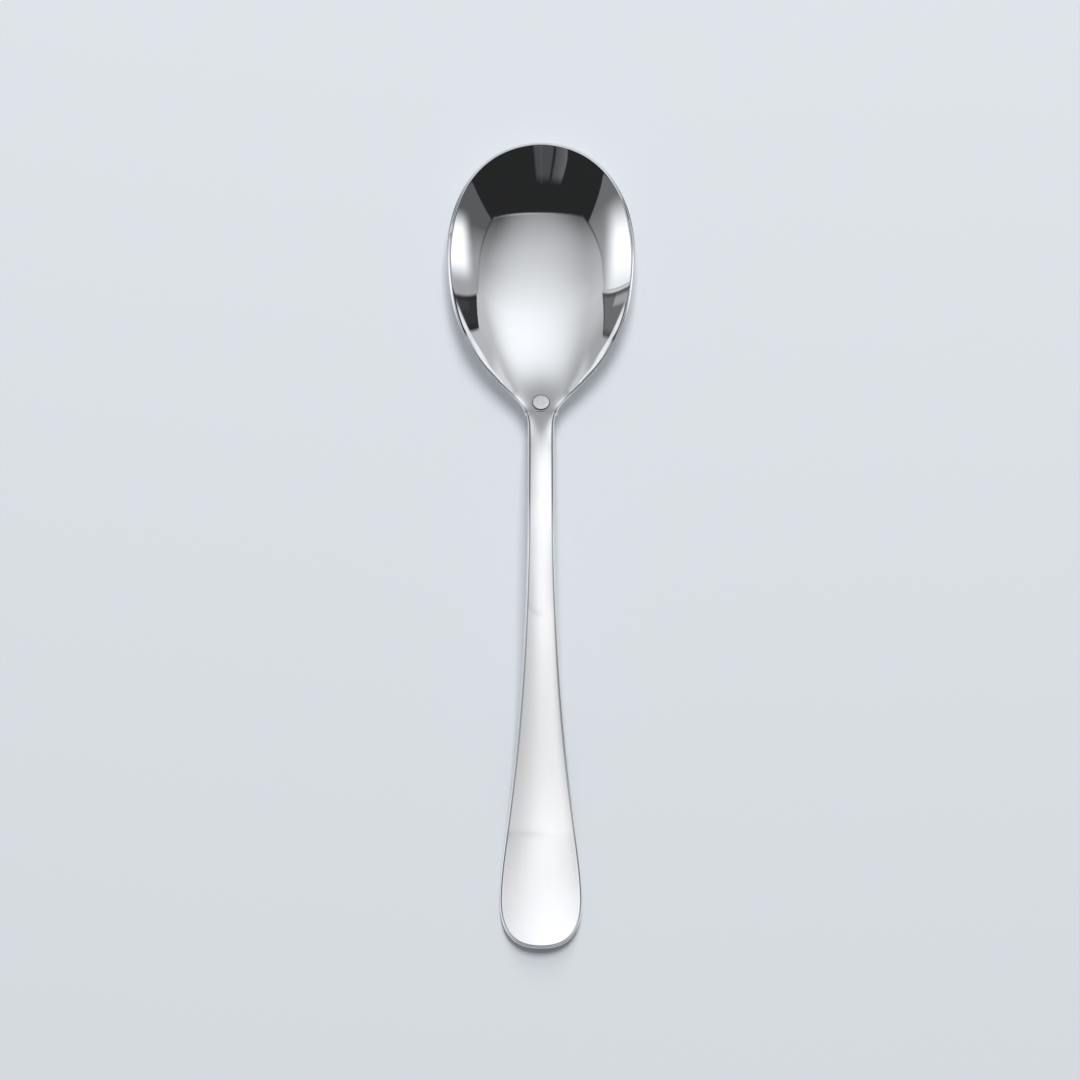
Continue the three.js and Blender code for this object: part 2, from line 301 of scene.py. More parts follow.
# where the flat part of each row stops, so that its rounded edge reaches the outline
def edgesOf(run, edgeRound, thickness):
    place, along = run
    probeS = place[:, 0] + along[:, 1] * edgeRound
    probeX = np.maximum(0, place[:, 1] - along[:, 0] * edgeRound)
    normal = sheetNormal(probeX, probeS)
    lean = np.maximum(0, -(normal[:, :2] * along).sum(axis=1)) * thickness / 2
    inset = lean + np.hypot(edgeRound, lean)
    return place[:, 0] + along[:, 1] * inset, np.maximum(0, place[:, 1] - along[:, 0] * inset)


# Edge lines: painted shade, dark lines painted into the steel's colour where the polished rim turns over,
# standing in for the dark reflection there, at each station station, millimetres inside the outline, depth of
# the painted line there, depth of the painted shade on the outline

edgeLine = (
    (0, 0.3, 0.0, 0.0),
    (6, 0.4, 0.0, 0.1),
    (10, 0.5, 0.0, 0.4),
    (15, 0.6, 0.1, 0.9),
    (20, 0.65, 0.3, 0.55),
    (26, 0.72, 0.35, 0.15),
    (32, 0.85, 0.3, 0.15),
    (38, 0.6, 0.15, 0.05),
    (44, 0.4, 0.3, 0.0),
    (50, 0.28, 0.5, 0.0),
    (54, 0.27, 0.55, 0.0),
    (58, 0.4, 0.25, 0.0),
    (62, 0.45, 0.75, 0.0),
    (66, 0.55, 0.75, 0.0),
    (80, 0.5, 0.7, 0.0),
    (90, 0.55, 0.45, 0.0),
    (110, 0.53, 0.5, 0.0),
    (140, 0.55, 0.5, 0.0),
    (155, 0.5, 0.7, 0.0),
    (165, 0.35, 0.8, 0.0),
    (171, 0.3, 0.8, 0.0),
    (175, 0.42, 0.65, 0.0),
    (178, 0.6, 0.5, 0.0),
    (180, 0.7, 0.75, 0.0),
    (181.5, 0.8, 0.85, 0.2),
    (182, 0.6, 0.85, 0.8),
)
wholeOutline = joinRuns(
    cubicAlong(tipCurve, outlineSteps),
    cubicAlong(sideCurve, outlineSteps),
    cubicAlong(neckCurve, outlineSteps),
    lineAlong((line["stemAt"], line["stemHalf"]), (line["flareAt"], line["stemHalf"]), outlineSteps),
    cubicAlong(flareCurve, 2 * outlineSteps),
    cubicAlong(endCurve, outlineSteps),
)[0]
outlineTree = KDTree(len(wholeOutline))
for i, (s, x) in enumerate(wholeOutline):
    outlineTree.insert((s, x, 0), i)
outlineTree.balance()


def insideOutline(x, s):  # millimetres, seen from above
    away = [outlineTree.find((b, abs(a), 0))[2] for a, b in zip(x.ravel(), s.ravel())]
    return np.array(away).reshape(x.shape)


# stores where the painted edge shade falls on each point and how dark it is
def markPaintedRimShade(piece):
    mesh = piece.data
    places = np.empty(len(mesh.vertices) * 3, np.float32)
    mesh.vertices.foreach_get("co", places)
    x, y = places.reshape(-1, 3)[:, :2].T / mm
    s = line["length"] / 2 - y
    stations, lineAt, lineDepth, paintedOutlineShade = np.array(edgeLine).T
    marks = {
        "edgeInside": insideOutline(x, s),
        "lineAt": np.interp(s, stations, lineAt),
        "lineDepth": np.interp(s, stations, lineDepth),
        "paintedOutlineShade": np.interp(s, stations, paintedOutlineShade),
    }
    for name, values in marks.items():
        mesh.attributes.new(name, "FLOAT", "POINT").data.foreach_set("value", values.astype(np.float32))


# Bowl: one pressed sheet from the tip to the tang's square end

bowlForm = {
    "edgeRound": 0.12,
    "tipRows": 80,
    "sideRows": 90,
    "neckRows": 40,
    "columns": 110,
    "edgeSteps": 10,
    "rimSheet": (  # station, thickness that the sheet thins to at its rim
        (0, 0.85), (5, 0.82), (10, 0.94), (15, 1.1), (20, 1.3), (26, 1.2), (32, 1.15), (38, 0.8),
        (44, 0.45), (50, 0.42), (54, 0.42), (56, 0.55), (58, 1.0), (59.5, 1.2),
    ),
    "rimTaper": 6.0,
    "lip": (  # station, how far the rim's inside is eased over (turned up if negative), how wide
        (0, 0.05, 1.2), (26, 0.06, 1.2), (38, 0.08, 1.2), (44, 0.18, 1.2), (47, 0.15, 1.2), (50, 0.05, 1.3),
        (52, -0.05, 1.8), (54, -0.16, 2.2), (56, -0.12, 2.0), (57, 0.04, 1.6), (58, 0.13, 1.3), (60, 0, 1.2),
    ),
}


def bowlMesh(form):
    run = joinRuns(
        cubicAlong(tipCurve, form["tipRows"]),
        cubicAlong(sideCurve, form["sideRows"]),
        cubicAlong(neckCurve, form["neckRows"], 0, neckShare(line["tangAt"])),
    )
    run[1][-1] = 1, 0  # the tang's end is square to the spoon
    rimSheet = np.interp(run[0][:, 0], *np.array(form["rimSheet"]).T)
    edgeS, edgeX = edgesOf(run, form["edgeRound"], rimSheet)
    columns, steps = form["columns"], form["edgeSteps"]
    over = np.linspace(-1, 1, columns + 1)
    turn = np.pi * np.arange(1, steps) / steps
    side = np.concatenate((over, np.ones(steps - 1), over[::-1], -np.ones(steps - 1)))
    flat = np.zeros(columns + 1)
    outward = np.concatenate((flat, np.sin(turn), flat, np.sin(turn))) * form["edgeRound"]
    share = np.concatenate((flat, (1 - np.cos(turn)) / 2, flat + 1, (1 + np.cos(turn)) / 2))

    x = side * (edgeX[:, None] + run[1][:, :1] * outward)
    s = edgeS[:, None] - run[1][:, 1:] * outward
    top = crownRate(edgeS)[:, None] * (side * edgeX[:, None]) ** 2
    inside = insideOutline(side * edgeX[:, None], edgeS[:, None] + 0 * side)
    lipAt, lipDrop, lipWidth = np.array(form["lip"]).T
    near = np.clip(1 - inside / np.interp(edgeS, lipAt, lipWidth)[:, None], 0, 1)
    lip = np.interp(edgeS, lipAt, lipDrop)[:, None] * near ** 2
    under = blendOf(rimSheet[:, None], line["sheet"], ease(inside, 0, form["rimTaper"]))
    points = pointUnder(x, s, blendOf(top + lip, under, share))
    points[..., 2] = np.maximum(points[..., 2], 0)  # the flat that the bowl rests on

    rows, count = x.shape
    place = np.arange(rows * count).reshape(rows, count)
    after = np.roll(place, -1, axis=1)
    faces = np.stack((place[:-1], place[1:], after[1:], after[:-1]), axis=-1).reshape(-1, 4).tolist()
    last = place[-1].tolist()
    bottom = columns + steps  # ring place of the right end of the underside
    for j in range(columns):
        faces.append((last[j + 1], last[j], last[bottom + columns - j], last[bottom + columns - j - 1]))
    faces.append(last[bottom:columns - 1:-1])
    faces.append([last[0]] + last[:bottom + columns - 1:-1])
    mesh = bpy.data.meshes.new("bowlSheet")
    mesh.from_pydata((points.reshape(-1, 3) * mm).tolist(), [], faces)
    return mesh


# Rivet holes are drilled along the neck's own upright

neckPoint = np.array((0, line["length"] / 2 - line["rivetAt"], keel(line["rivetAt"])))
neckUp = sheetNormal(np.array(0.0), np.array(line["rivetAt"]))
drillForm = {"radius": 1.31, "reach": 6.0, "sides": 64}


def drill(piece, form):
    turns = np.linspace(0, 2 * np.pi, form["sides"], endpoint=False)
    acrossNeck = np.array((1.0, 0, 0))
    alongNeck = np.cross(neckUp, acrossNeck)
    ring = form["radius"] * (np.cos(turns)[:, None] * acrossNeck + np.sin(turns)[:, None] * alongNeck)
    points = np.concatenate([neckPoint + ring + level * neckUp for level in (-form["reach"], form["reach"])])
    low = list(range(form["sides"]))
    high = [i + form["sides"] for i in low]
    faces = [low[::-1], high]
    faces += [(low[i - 1], low[i], high[i], high[i - 1]) for i in low]
    mesh = bpy.data.meshes.new("drillBit")
    mesh.from_pydata((points * mm).tolist(), [], faces)
    bit = addPiece("drillBit", mesh)
    cut = piece.modifiers.new("rivetHole", "BOOLEAN")
    cut.object = bit
    cut.operation = "DIFFERENCE"
    cut.solver = "EXACT"
    settle(piece)
    bpy.data.objects.remove(bit)


def weld(piece):  # closes the seams and the tip, and leaves out faces that have shrunk to nothing
    merge = piece.modifiers.new("closeSeams", "WELD")
    merge.merge_threshold = mergeWithin
    settle(piece)


def smoothOver(piece):
    piece.data.shade_smooth()
    piece.data.set_sharp_from_angle(angle=sharpAngle)


# Handle: rows along its outline, each with the sizes that its section follows

handleForm = {
    "edgeRound": 0.5,
    "noseTipAt": 51.0,
    "noseTipThickness": 0.8,
    "noseFullAt": 56.55,  # just before the rivet's tail
    "stemThickness": 3.0,
    "endThickness": 2.0,
    "noseTipRows": 14,
    "noseRows": 20,
    "neckRows": 20,
    "stemRows": 30,
    "flareRows": 170,
    "endRows": 56,
    "ringPoints": 121,  # one more than a multiple of ten
}


def handleThickness(s, form):
    tip = line["sheet"] + line["seatGap"] + form["noseTipThickness"]
    nose = blendOf(tip, form["stemThickness"], ease(s, form["noseTipAt"], form["noseFullAt"]))
    body = blendOf(form["stemThickness"], form["endThickness"], ease(s, line["flareAt"], line["endWidestAt"]))
    return np.where(s < bodyAt, nose, body)


def noseRound(form):
    turn = np.linspace(0, np.pi / 2, form["noseTipRows"] + 1)
    radius = line["stemHalf"]
    place = np.stack((form["noseTipAt"] + radius * (1 - np.cos(turn)), radius * np.sin(turn)), axis=-1)
    return place, np.stack((np.sin(turn), np.cos(turn)), axis=-1)


def handleRows(form):
    roundEnd = (form["noseTipAt"] + line["stemHalf"], line["stemHalf"])
    noseEnd = (bodyAt, line["stemHalf"])
    stemStart = (line["stemAt"], line["stemHalf"])
    nose = joinRuns(noseRound(form), lineAlong(roundEnd, noseEnd, form["noseRows"]))
    body = joinRuns(
        cubicAlong(neckCurve, form["neckRows"], neckShare(bodyAt), 1),
        lineAlong(stemStart, (line["flareAt"], line["stemHalf"]), form["stemRows"]),
        cubicAlong(flareCurve, form["flareRows"]),
        cubicAlong(endCurve, form["endRows"]),
    )
    body[1][0] = 1, 0  # square to the spoon, against the tang's end
    run = np.concatenate((nose[0], body[0])), np.concatenate((nose[1], body[1]))
    isNose = np.arange(len(run[0])) < len(nose[0])
    outlineS = run[0][:, 0]
    full = handleThickness(np.where(isNose, outlineS - slopeStep, outlineS), form)
    topDepth = np.where(isNose, line["sheet"] + line["seatGap"], 0)
    edgeS, edgeX = edgesOf(run, form["edgeRound"], full - topDepth)
    rise = np.where(isNose & (edgeS < line["tangAt"]), rim(edgeS) - keel(edgeS), 0)
    half = bowlHalfAt(edgeS)
    flatness = flatnessAt(edgeS)
    return {
        "station": edgeS,
        "halfWidth": edgeX,
        "outAlong": -run[1][:, 1],
        "outAcross": run[1][:, 0],
        "height": keel(edgeS),
        "slope": slopeAt(keel, edgeS),
        "dishSquare": rise * (1 - flatness) / half ** 2,
        "dishFourth": rise * flatness / half ** 4,
        "topDepth": topDepth,
        "thickness": full,
        "crown": np.where(isNose, 0, crownRate(edgeS)),
    }


def handleSpine(form):  # a line of points, one for each row
    rows = handleRows(form)
    count = len(rows["station"])
    points = np.stack((np.zeros(count), line["length"] / 2 - rows["station"], rows["height"]), axis=-1)
    mesh = bpy.data.meshes.new("handleSpine")
    mesh.from_pydata((points * mm).tolist(), [(i, i + 1) for i in range(count - 1)], [])
    for name, values in rows.items():
        mesh.attributes.new(name, "FLOAT", "POINT").data.foreach_set("value", values.astype(np.float32))
    return mesh


def finishTree(tree, geometry, material, name):  # every tree ends alike
    real = addNode(tree, "GeometryNodeRealizeInstances", {"Geometry": geometry})
    finished = addNode(tree, "GeometryNodeSetMaterial", {"Geometry": real.outputs[0], "Material": material})
    addNode(tree, "NodeGroupOutput", {name: finished.outputs[0]})


def handleSweepTree(form):
    tree = bpy.data.node_groups.new("handleSweep", "GeometryNodeTree")
    treeSocket(tree, "Spine", "INPUT", "NodeSocketGeometry")
    treeSocket(tree, "Ring Points", "INPUT", "NodeSocketInt", form["ringPoints"])
    treeSocket(tree, "Edge Round", "INPUT", "NodeSocketFloat", form["edgeRound"])
    treeSocket(tree, "Back Crown Radius", "INPUT", "NodeSocketFloat", line["backCrownRadius"])
    treeSocket(tree, "Spoon Length", "INPUT", "NodeSocketFloat", line["length"])
    treeSocket(tree, "Merge Within", "INPUT", "NodeSocketFloat", mergeWithin)
    treeSocket(tree, "Steel", "INPUT", "NodeSocketMaterial")
    treeSocket(tree, "Handle", "OUTPUT", "NodeSocketGeometry")
    given = addNode(tree, "NodeGroupInput").outputs
    do = partial(calc, tree)

    # a grid with one line of points for each row of the spine
    rowCount = addNode(tree, "GeometryNodeAttributeDomainSize", {
        "Geometry": given["Spine"],
    }, component="MESH")
    grid = addNode(tree, "GeometryNodeMeshGrid", {
        "Vertices X": rowCount.outputs["Point Count"],
        "Vertices Y": given["Ring Points"],
    })
    index = addNode(tree, "GeometryNodeInputIndex").outputs[0]
    row = do("FLOOR", do("DIVIDE", do("ADD", index, 0.5), given["Ring Points"]))
    column = do("SUBTRACT", index, do("MULTIPLY", row, given["Ring Points"]))
    around = do("DIVIDE", column, do("SUBTRACT", given["Ring Points"], 1))

    def rowValue(name):
        value = addNode(tree, "GeometryNodeInputNamedAttribute", {"Name": name}, data_type="FLOAT")
        sample = addNode(tree, "GeometryNodeSampleIndex", data_type="FLOAT", domain="POINT")
        plug(tree, sample.inputs["Geometry"], given["Spine"])
        plug(tree, sample.inputs["Value"], value.outputs["Attribute"])
        plug(tree, sample.inputs["Index"], row)
        return sample.outputs[0]

    # over the top, round the right edge, back underneath, round the left edge
    topTo, rightTo, backTo = 0.4, 0.5, 0.9  # shares of the ring
    side = do("SUBTRACT", spread(tree, around, 0, topTo, -1, 1), spread(tree, around, rightTo, backTo, 0, 2))
    rightTurn = spread(tree, around, topTo, rightTo, 0, math.pi)
    leftTurn = spread(tree, around, backTo, 1, 0, math.pi)
    bulge = do("MULTIPLY", do("ADD", do("SINE", rightTurn), do("SINE", leftTurn)), given["Edge Round"])
    under = do("MULTIPLY", do("SUBTRACT", do("COSINE", leftTurn), do("COSINE", rightTurn)), 0.5)

    flatX = do("MULTIPLY", side, rowValue("halfWidth"))
    x = do("ADD", flatX, do("MULTIPLY", side, do("MULTIPLY", rowValue("outAcross"), bulge)))
    along = do("MULTIPLY", rowValue("outAlong"), bulge)
    square = do("MULTIPLY", x, x)
    dishSquare = rowValue("dishSquare")
    dishFourth = do("MULTIPLY", rowValue("dishFourth"), square)
    slope = rowValue("slope")
    lift = do("MULTIPLY", square, do("ADD", dishSquare, dishFourth))
    z = total(tree, rowValue("height"), do("MULTIPLY", slope, along), lift)
    tilt = do("MULTIPLY", do("MULTIPLY", x, -2), do("ADD", dishSquare, do("MULTIPLY", dishFourth, 2)))

    flatSquare = do("MULTIPLY", flatX, flatX)
    top = do("ADD", rowValue("topDepth"), do("MULTIPLY", rowValue("crown"), flatSquare))
    backRise = do("DIVIDE", flatSquare, do("MULTIPLY", given["Back Crown Radius"], 2))
    back = do("SUBTRACT", rowValue("thickness"), backRise)
    depth = do("ADD", top, do("MULTIPLY", under, do("SUBTRACT", back, top)))

    y = do("SUBTRACT", do("MULTIPLY", given["Spoon Length"], 0.5), do("ADD", rowValue("station"), along))
    onTop = addNode(tree, "ShaderNodeCombineXYZ", {"X": x, "Y": y, "Z": z}).outputs[0]
    upright = addNode(tree, "ShaderNodeCombineXYZ", {"X": tilt, "Y": slope, "Z": 1.0}).outputs[0]
    unit = addNode(tree, "ShaderNodeVectorMath", {0: upright}, operation="NORMALIZE").outputs[0]
    down = addNode(tree, "ShaderNodeVectorMath", {0: unit, "Scale": depth}, operation="SCALE").outputs[0]
    placed = addNode(tree, "ShaderNodeVectorMath", {0: onTop, 1: down}, operation="SUBTRACT").outputs[0]
    scaled = addNode(tree, "ShaderNodeVectorMath", {0: placed, "Scale": mm}, operation="SCALE").outputs[0]
    parts = addNode(tree, "ShaderNodeSeparateXYZ", {0: scaled}).outputs
    resting = addNode(tree, "ShaderNodeCombineXYZ", {
        "X": parts[0],
        "Y": parts[1],
        "Z": do("MAXIMUM", parts[2], 0),
    })

    swept = addNode(tree, "GeometryNodeSetPosition", {
        "Geometry": grid.outputs["Mesh"],
        "Position": resting.outputs[0],
    })
    closed = addNode(tree, "GeometryNodeMergeByDistance", {
        "Geometry": swept.outputs[0],
        "Distance": given["Merge Within"],
    })
    smooth = addNode(tree, "GeometryNodeSetShadeSmooth", {"Geometry": closed.outputs[0]})
    finishTree(tree, smooth.outputs[0], given["Steel"], "Handle")
    return tree


# Rivet: one turned shape, set on the neck's point and square to it

rivetHeadRadius = 2.05
neckSide = sheetHeight(np.array(rivetHeadRadius), np.array(line["rivetAt"]))  # height under the head's rim
rivetForm = {
    "Head Radius": rivetHeadRadius,
    "Head Height": 0.3,
    "Head Seat": float(neckSide - neckPoint[2]) + line["seatGap"],
    "Shank Radius": 1.25,
    "Tail Radius": 1.95,
    "Tail Height": 0.5,
    "Tail Seat": -handleForm["stemThickness"] - line["seatGap"],
    # how dark the painted shade is along the head's outline
    "Painted Outline Shade": 0.75,
    "Oval": 0.9,
    "Profile Points": 101,  # one more than a multiple of ten
    "Sides": 97,
}


def rivetTree(form):
    tree = bpy.data.node_groups.new("neckRivet", "GeometryNodeTree")
    treeSocket(tree, "Neck Point", "INPUT", "NodeSocketGeometry")
    for name, value in form.items():
        kind = "NodeSocketInt" if isinstance(value, int) else "NodeSocketFloat"
        treeSocket(tree, name, "INPUT", kind, value)
    treeSocket(tree, "Steel", "INPUT", "NodeSocketMaterial")
    treeSocket(tree, "Rivet", "OUTPUT", "NodeSocketGeometry")
    given = addNode(tree, "NodeGroupInput").outputs
    do = partial(calc, tree)

    count = given["Profile Points"]
    grid = addNode(tree, "GeometryNodeMeshGrid", {"Vertices X": given["Sides"], "Vertices Y": count})
    index = addNode(tree, "GeometryNodeInputIndex").outputs[0]
    sideAt = do("FLOOR", do("DIVIDE", do("ADD", index, 0.5), count))
    turn = do("MULTIPLY", do("DIVIDE", sideAt, do("SUBTRACT", given["Sides"], 1)), 2 * math.pi)
    up = do("DIVIDE", do("SUBTRACT", index, do("MULTIPLY", sideAt, count)), do("SUBTRACT", count, 1))

    # from the tail's middle out, in to the shank, up it, out under the head and over to its middle
    tailTo, tailInTo, shankTo, headOutTo = 0.3, 0.4, 0.5, 0.6  # shares of the profile
    tailTurn = spread(tree, up, 0, tailTo, 0, math.pi / 2)
    tailIn = spread(tree, up, tailTo, tailInTo, 0, 1)
    rise = spread(tree, up, tailInTo, shankTo, 0, 1)
    headOut = spread(tree, up, shankTo, headOutTo, 0, 1)
    headTurn = spread(tree, up, headOutTo, 1, 0, math.pi / 2)
    tailPart = do("MULTIPLY", given["Tail Radius"], do("SINE", tailTurn))
    tailStep = do("MULTIPLY", tailIn, do("SUBTRACT", given["Shank Radius"], given["Tail Radius"]))
    headStep = do("MULTIPLY", headOut, do("SUBTRACT", given["Head Radius"], given["Shank Radius"]))
    headPart = do("MULTIPLY", given["Head Radius"], do("SUBTRACT", do("COSINE", headTurn), 1))
    radius = total(tree, tailPart, tailStep, headStep, headPart)
    tailZ = do("SUBTRACT", given["Tail Seat"], do("MULTIPLY", given["Tail Height"], do("COSINE", tailTurn)))
    shankZ = do("MULTIPLY", rise, do("SUBTRACT", given["Head Seat"], given["Tail Seat"]))
    headZ = do("MULTIPLY", given["Head Height"], do("SINE", headTurn))
    z = total(tree, tailZ, shankZ, headZ)

    turned = addNode(tree, "ShaderNodeCombineXYZ", {
        "X": do("MULTIPLY", radius, do("COSINE", turn)),
        "Y": do("MULTIPLY", do("MULTIPLY", radius, given["Oval"]), do("SINE", turn)),
        "Z": z,
    }).outputs[0]
    scaled = addNode(tree, "ShaderNodeVectorMath", {0: turned, "Scale": mm}, operation="SCALE").outputs[0]
    swept = addNode(tree, "GeometryNodeSetPosition", {"Geometry": grid.outputs["Mesh"], "Position": scaled})
    closed = addNode(tree, "GeometryNodeMergeByDistance", {
        "Geometry": swept.outputs[0],
        "Distance": mergeWithin,
    })
    smooth = addNode(tree, "GeometryNodeSetShadeSmooth", {"Geometry": closed.outputs[0]})
    position = addNode(tree, "GeometryNodeInputPosition").outputs[0]
    placed = addNode(tree, "ShaderNodeSeparateXYZ", {0: position}).outputs
    across = do("POWER", do("DIVIDE", placed[0], mm), 2)
    lengthwise = do("POWER", do("DIVIDE", do("DIVIDE", placed[1], mm), given["Oval"]), 2)
    inside = do("SUBTRACT", given["Head Radius"], do("SQRT", do("ADD", across, lengthwise)))
    marked = smooth
    # the head's outline gets painted shade through the shared edge group
    for name, value in (("edgeInside", inside), ("paintedOutlineShade", given["Painted Outline Shade"])):
        store = addNode(tree, "GeometryNodeStoreNamedAttribute", data_type="FLOAT", domain="POINT")
        plug(tree, store.inputs["Geometry"], marked.outputs[0])
        plug(tree, store.inputs["Name"], name)
        plug(tree, store.inputs["Value"], value)
        marked = store

    upright = addNode(tree, "GeometryNodeInputNamedAttribute", {"Name": "neckUp"}, data_type="FLOAT_VECTOR")
    stand = addNode(tree, "FunctionNodeAlignRotationToVector", {
        "Vector": upright.outputs["Attribute"],
    }, axis="Z")
    setIn = addNode(tree, "GeometryNodeInstanceOnPoints", {
        "Points": given["Neck Point"],
        "Instance": marked.outputs[0],
        "Rotation": stand.outputs[0],
    })
    finishTree(tree, setIn.outputs[0], given["Steel"], "Rivet")
    return tree


def rivetPoint():
    mesh = bpy.data.meshes.new("neckPoint")
    mesh.from_pydata([(neckPoint * mm).tolist()], [], [])
    mesh.attributes.new("neckUp", "FLOAT_VECTOR", "POINT").data[0].vector = neckUp.tolist()
    return mesh


# Finishes: polishing marks and painted edge shade (dark lines standing in for reflection along the rims) are
# shared by all three steels

polishForm = {
    "hazeDetail": 4.0,
    "hazeCut": (0.35, 0.7),  # parts of the noise that are clean and fully hazy
    "lineDetail": 3.0,
    "lineCut": (0.3, 0.7),
    "lineShare": (0.4, 1),  # how much of the haze stays between and on the lines
}


def polishGroup(form):
    group = bpy.data.node_groups.new("polishMarks", "ShaderNodeTree")
    for name in ("Haze Scale", "Line Scale", "Clean Roughness", "Hazy Roughness"):
        treeSocket(group, name, "INPUT", "NodeSocketFloat")
    treeSocket(group, "Line Stretch", "INPUT", "NodeSocketVector", (1.0, 0.06, 1.0))
    treeSocket(group, "Clean Tint", "INPUT", "NodeSocketColor")
    treeSocket(group, "Hazy Tint", "INPUT", "NodeSocketColor")
    treeSocket(group, "Tint", "OUTPUT", "NodeSocketColor")
    treeSocket(group, "Roughness", "OUTPUT", "NodeSocketFloat")
    treeSocket(group, "Lines", "OUTPUT", "NodeSocketFloat")
    given = addNode(group, "NodeGroupInput").outputs
    place = addNode(group, "ShaderNodeTexCoord").outputs["Object"]
    haze = addNode(group, "ShaderNodeTexNoise", {
        "Vector": place,
        "Scale": given["Haze Scale"],
        "Detail": form["hazeDetail"],
    }).outputs[0]
    cloud = spread(group, haze, *form["hazeCut"], 0, 1, "SMOOTHSTEP")
    stretched = addNode(group, "ShaderNodeVectorMath", {
        0: place,
        1: given["Line Stretch"],
    }, operation="MULTIPLY")
    lines = addNode(group, "ShaderNodeTexNoise", {
        "Vector": stretched.outputs[0],
        "Scale": given["Line Scale"],
        "Detail": form["lineDetail"],
    }).outputs[0]
    marks = calc(group, "MULTIPLY", cloud, spread(group, lines, *form["lineCut"], *form["lineShare"]))
    span = calc(group, "SUBTRACT", given["Hazy Roughness"], given["Clean Roughness"])
    roughness = calc(group, "ADD", given["Clean Roughness"], calc(group, "MULTIPLY", marks, span))
    tint = addNode(group, "ShaderNodeMix", data_type="RGBA")
    plug(group, tint.inputs["Factor"], marks)
    plug(group, tint.inputs[6], given["Clean Tint"])
    plug(group, tint.inputs[7], given["Hazy Tint"])
    addNode(group, "NodeGroupOutput", {"Tint": tint.outputs[2], "Roughness": roughness, "Lines": lines})
    return group


# painted shade: darkens the tint in a line inside the rim and along the outline, in place of the dark
# reflection there
def paintedRimShadeGroup():
    group = bpy.data.node_groups.new("paintedRimShade", "ShaderNodeTree")
    treeSocket(group, "Tint", "INPUT", "NodeSocketColor")
    treeSocket(group, "Strength", "INPUT", "NodeSocketFloat", 1.0)
    treeSocket(group, "Line Core", "INPUT", "NodeSocketFloat", 0.04)  # millimetres, as are the next three
    treeSocket(group, "Line Width", "INPUT", "NodeSocketFloat", 0.22)
    treeSocket(group, "Outer Core", "INPUT", "NodeSocketFloat", 0.1)
    treeSocket(group, "Outer Width", "INPUT", "NodeSocketFloat", 0.3)
    treeSocket(group, "Tint", "OUTPUT", "NodeSocketColor")
    given = addNode(group, "NodeGroupInput").outputs
    inside, lineAt, lineDepth, paintedOutlineShade = (
        addNode(group, "ShaderNodeAttribute", attribute_name=name).outputs["Fac"]
        for name in ("edgeInside", "lineAt", "lineDepth", "paintedOutlineShade")
    )
    off = calc(group, "ABSOLUTE", calc(group, "SUBTRACT", inside, lineAt))
    paintedLine = spread(group, off, given["Line Core"], given["Line Width"], 1, 0, "SMOOTHSTEP")
    paintedLine = calc(group, "MULTIPLY", calc(group, "MULTIPLY", paintedLine, lineDepth), given["Strength"])
    # painted shade on the outline itself
    paintedOutline = spread(group, inside, given["Outer Core"], given["Outer Width"], 1, 0, "SMOOTHSTEP")
    paintedOutline = calc(group, "MULTIPLY", calc(group, "MULTIPLY", paintedOutline, paintedOutlineShade), given["Strength"])
    keep = calc(group, "MULTIPLY", calc(group, "SUBTRACT", 1, paintedLine), calc(group, "SUBTRACT", 1, paintedOutline))
    shadedTint = addNode(group, "ShaderNodeVectorMath", {0: given["Tint"], "Scale": keep}, operation="SCALE")
    addNode(group, "NodeGroupOutput", {"Tint": shadedTint.outputs[0]})
    return group


def steel(name, group, edges, finish):
    material = bpy.data.materials.new(name)
    material.use_nodes = True
    tree = material.node_tree
    shader = tree.nodes["Principled BSDF"]
    shader.inputs["Metallic"].default_value = 1.0
    marks = addNode(tree, "ShaderNodeGroup", node_tree=group)
    for key, value in finish["marks"].items():
        marks.inputs[key].default_value = value
    rimShaded = addNode(tree, "ShaderNodeGroup", node_tree=edges)
    for key, value in finish["edges"].items():
        rimShaded.inputs[key].default_value = value
    # the polish tint goes through the painted edge shade before it becomes the base colour
    plug(tree, rimShaded.inputs["Tint"], marks.outputs["Tint"])
    plug(tree, shader.inputs["Base Color"], rimShaded.outputs["Tint"])
    plug(tree, shader.inputs["Roughness"], marks.outputs["Roughness"])
    bump = addNode(tree, "ShaderNodeBump", {"Height": marks.outputs["Lines"]})
    bump.inputs["Strength"].default_value = finish["lineStrength"]
    bump.inputs["Distance"].default_value = finish["lineDepth"] * mm
    plug(tree, shader.inputs["Normal"], bump.outputs[0])
    return material


bowlFinish = {
    "marks": {
        "Haze Scale": 45.0,
        "Line Scale": 900.0,
        "Clean Roughness": 0.03,
        "Hazy Roughness": 0.06,
        "Clean Tint": (0.80, 0.805, 0.82, 1),
        "Hazy Tint": (0.775, 0.78, 0.795, 1),
    },
    "edges": {"Line Width": 0.22, "Outer Width": 0.5},
    "lineStrength": 0.05,
    "lineDepth": 0.001,
}
handleFinish = {
    "marks": {
        "Haze Scale": 45.0,
        "Line Scale": 900.0,
        "Clean Roughness": 0.07,
        "Hazy Roughness": 0.11,
        "Clean Tint": (0.80, 0.804, 0.815, 1),
        "Hazy Tint": (0.78, 0.784, 0.795, 1),
    },
    "edges": {"Line Width": 0.26, "Outer Width": 0.3},
    "lineStrength": 0.05,
    "lineDepth": 0.001,
}
rivetFinish = {
    "marks": {
        "Haze Scale": 500.0,
        "Line Scale": 2500.0,
        "Clean Roughness": 0.48,
        "Hazy Roughness": 0.6,
        "Clean Tint": (0.97, 0.97, 0.97, 1),
        "Hazy Tint": (0.9, 0.9, 0.9, 1),
    },
    "edges": {"Outer Width": 0.36},
    "lineStrength": 0.25,
    "lineDepth": 0.01,
}

